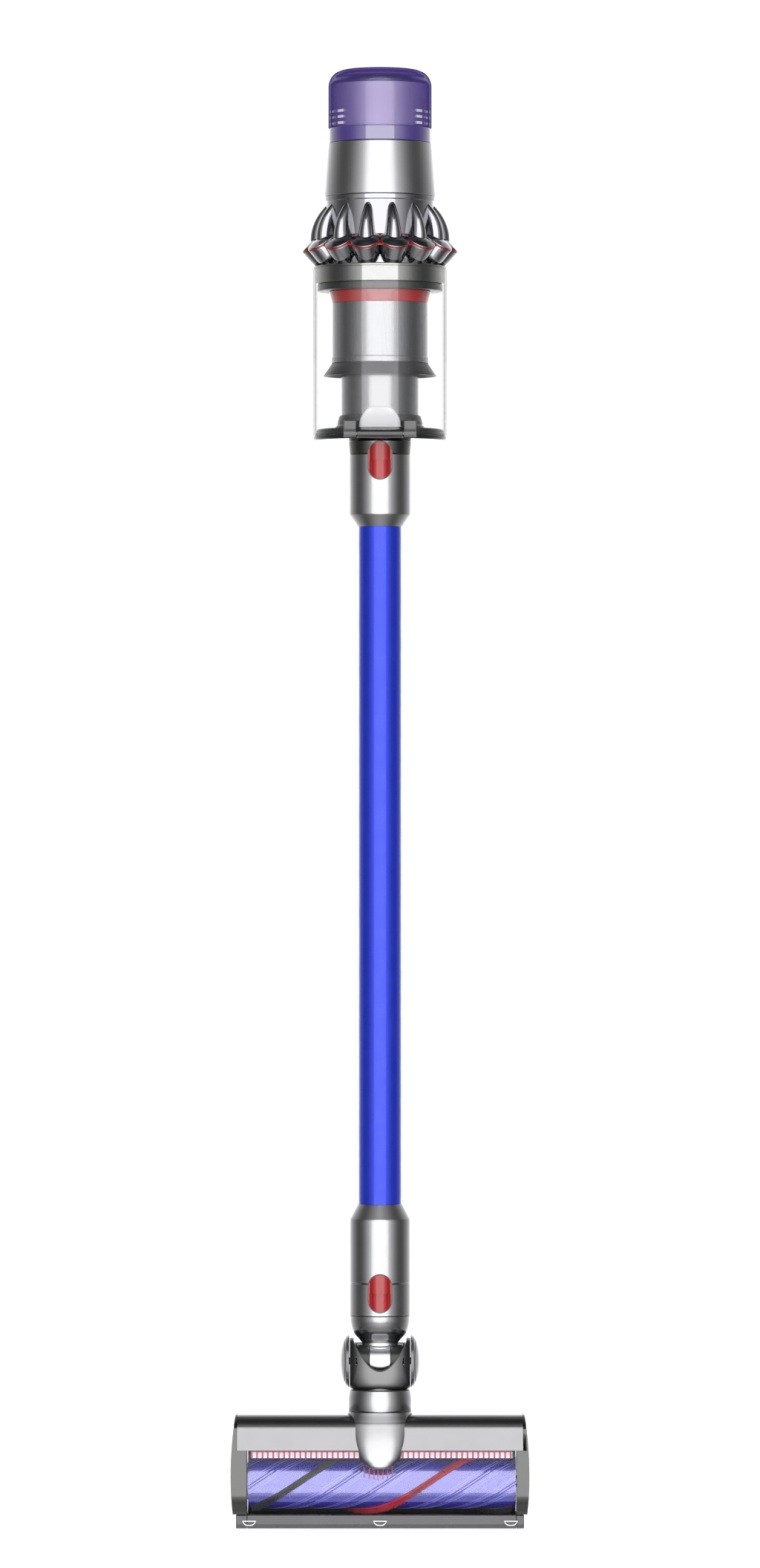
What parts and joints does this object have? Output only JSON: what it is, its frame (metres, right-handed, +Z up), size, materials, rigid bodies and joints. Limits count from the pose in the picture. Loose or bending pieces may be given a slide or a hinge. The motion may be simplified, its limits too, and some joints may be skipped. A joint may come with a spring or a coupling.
{
  "type": "cordless stick vacuum",
  "caption": "Cordless stick vacuum with a cyclone bin in line with its wand, a swivelling cleaner head with a driven brush, and a pistol handle with its battery.",
  "frame": {"origin": "on the wand's axis, on the flat lower face of the head's front bumper", "axes": "+Z up along the wand from the head to the filter cap, -Y towards the side a user looks down on, +Y towards the handle and the sole, +X to the right seen from the front"},
  "size_m": [0.255, 0.2428, 1.25],
  "materials": {
    "nickel": "satin nickel-coloured metallised plastic",
    "dark_chrome": "dark polished metallised plastic",
    "silver": "silver metallic paint on plastic",
    "anodised_blue": "blue anodised, satin",
    "purple_clear": "clear purple polycarbonate",
    "clear": "clear polycarbonate",
    "red": "moulded red plastic",
    "warm_grey": "warm dark grey plastic, satin",
    "dark_grey": "dark grey plastic",
    "black": "black plastic",
    "rubber": "seal rubber",
    "shroud_steel": "thin stainless sheet",
    "steel": "bare steel",
    "pleated_paper": "pleated filter medium",
    "red_bristle": "nylon bristle",
    "black_bristle": "carbon fibre bristle"
  },
  "bodies": {
    "machine": {"motor_housing": "nickel", "motor_can": "steel", "cyclone_cones": "dark_chrome", "cyclone_gasket": "red", "cyclone_tops": "dark_chrome", "bin_collar": "warm_grey", "collar_seal": "rubber", "shroud_band": "red", "shroud_mesh": "shroud_steel", "shroud_skirt": "black", "inner_duct": "silver", "duct_seal": "rubber", "handle_body": "warm_grey", "battery_pack": "dark_grey", "battery_screw": "steel", "bin_rail": "dark_grey"},
    "impeller": {"impeller": "silver"},
    "filter": {"filter_cap": "purple_clear", "filter_pleats": "pleated_paper", "filter_frame": "dark_grey"},
    "trigger": {"trigger": "red"},
    "mode_slider": {"mode_slider": "red"},
    "release_lever": {"bin_release_lever": "red"},
    "bin": {"bin_shell": "clear", "hinge_pin": "steel"},
    "door": {"bin_door": "clear", "door_seal": "rubber", "inlet_nozzle": "dark_grey", "inlet_duct": "clear"},
    "wand": {"wand_tube": "anodised_blue", "wand_cuff": "nickel", "wand_collar": "nickel", "wand_wire_duct": "black", "wand_button_spring": "steel"},
    "wand_button": {"wand_button": "red"},
    "neck": {"head_cuff": "nickel", "neck_knuckle": "nickel", "head_button_spring": "steel"},
    "head_button": {"head_button": "red"},
    "fork": {"fork_body": "nickel", "swivel_collar": "nickel"},
    "wheel_left": {"wheel_left": "dark_chrome"},
    "wheel_right": {"wheel_right": "dark_chrome"},
    "head": {"head_nose": "nickel", "head_rear_cover": "silver", "head_window": "clear", "end_housing_left": "dark_chrome", "end_housing_right": "dark_chrome", "front_bumper": "dark_grey", "soleplate": "black", "hair_comb": "red", "brush_motor": "steel", "brush_bearing": "steel"},
    "brush": {"brush_core": "anodised_blue", "brush_bristles": "red_bristle", "brush_carbon_row": "black_bristle"},
    "brush_lock": {"brush_lock": "dark_grey"},
    "roller_left": {"sole_roller_left": "dark_grey"},
    "roller_right": {"sole_roller_right": "dark_grey"}
  },
  "joints": [
    {"name": "impeller_spin", "type": "hinge", "parent": "machine", "child": "impeller", "pos_m": [0, 0, 1.16], "axis": [0, 0, 1], "continuous": true},
    {"name": "filter_twist", "type": "hinge", "parent": "machine", "child": "filter", "pos_m": [0, 0, 1.185], "axis": [0, 0, 1], "range_deg": [0, 30]},
    {"name": "trigger_pull", "type": "hinge", "parent": "machine", "child": "trigger", "pos_m": [0, 0.079, 1.117], "axis": [1, 0, 0], "range_deg": [0, 10], "stiffness_Nm_per_rad": 0.6, "springref_deg": -5.73},
    {"name": "mode_select", "type": "slide", "parent": "machine", "child": "mode_slider", "axis": [0, 1, 0], "range_m": [0, 0.01]},
    {"name": "bin_release", "type": "slide", "parent": "machine", "child": "release_lever", "axis": [0, 0, -1], "range_m": [0, 0.008], "stiffness_N_per_m": 600, "springref_m": -0.003},
    {"name": "bin_slide", "type": "slide", "parent": "machine", "child": "bin", "axis": [0, 0, -1], "range_m": [0, 0.045]},
    {"name": "bin_door_swing", "type": "hinge", "parent": "bin", "child": "door", "pos_m": [0, -0.061, 0.934], "axis": [1, 0, 0], "range_deg": [-95, 0]},
    {"name": "wand_pull", "type": "slide", "parent": "door", "child": "wand", "axis": [0, 0, -1], "range_m": [0, 0.03]},
    {"name": "wand_button_push", "type": "slide", "parent": "wand", "child": "wand_button", "axis": [0, 1, 0], "range_m": [0, 0.003], "stiffness_N_per_m": 900, "springref_m": -0.002, "deforming": ["wand_button_spring"]},
    {"name": "head_pull", "type": "slide", "parent": "wand", "child": "neck", "axis": [0, 0, -1], "range_m": [0, 0.03]},
    {"name": "head_button_push", "type": "slide", "parent": "neck", "child": "head_button", "axis": [0, 1, 0], "range_m": [0, 0.003], "stiffness_N_per_m": 900, "springref_m": -0.002, "deforming": ["head_button_spring"]},
    {"name": "head_pitch", "type": "hinge", "parent": "neck", "child": "fork", "pos_m": [0, 0, 0.1422], "axis": [1, 0, 0], "range_deg": [-70, 0]},
    {"name": "head_swivel", "type": "hinge", "parent": "fork", "child": "head", "pos_m": [0, 0, 0.0999], "axis": [0, 0, 1], "range_deg": [-60, 60]},
    {"name": "wheel_left_spin", "type": "hinge", "parent": "fork", "child": "wheel_left", "pos_m": [0, 0, 0.1422], "axis": [1, 0, 0], "continuous": true},
    {"name": "wheel_right_spin", "type": "hinge", "parent": "fork", "child": "wheel_right", "pos_m": [0, 0, 0.1422], "axis": [1, 0, 0], "continuous": true},
    {"name": "brush_spin", "type": "hinge", "parent": "head", "child": "brush", "pos_m": [0, -0.0045, 0.0398], "axis": [1, 0, 0], "continuous": true},
    {"name": "brush_lock_turn", "type": "hinge", "parent": "head", "child": "brush_lock", "pos_m": [0.1275, -0.0045, 0.0398], "axis": [1, 0, 0], "range_deg": [0, 90]},
    {"name": "roller_left_spin", "type": "hinge", "parent": "head", "child": "roller_left", "pos_m": [-0.07, 0.0176, 0.076], "axis": [1, 0, 0], "continuous": true},
    {"name": "roller_right_spin", "type": "hinge", "parent": "head", "child": "roller_right", "pos_m": [0.07, 0.0176, 0.076], "axis": [1, 0, 0], "continuous": true}
  ]
}
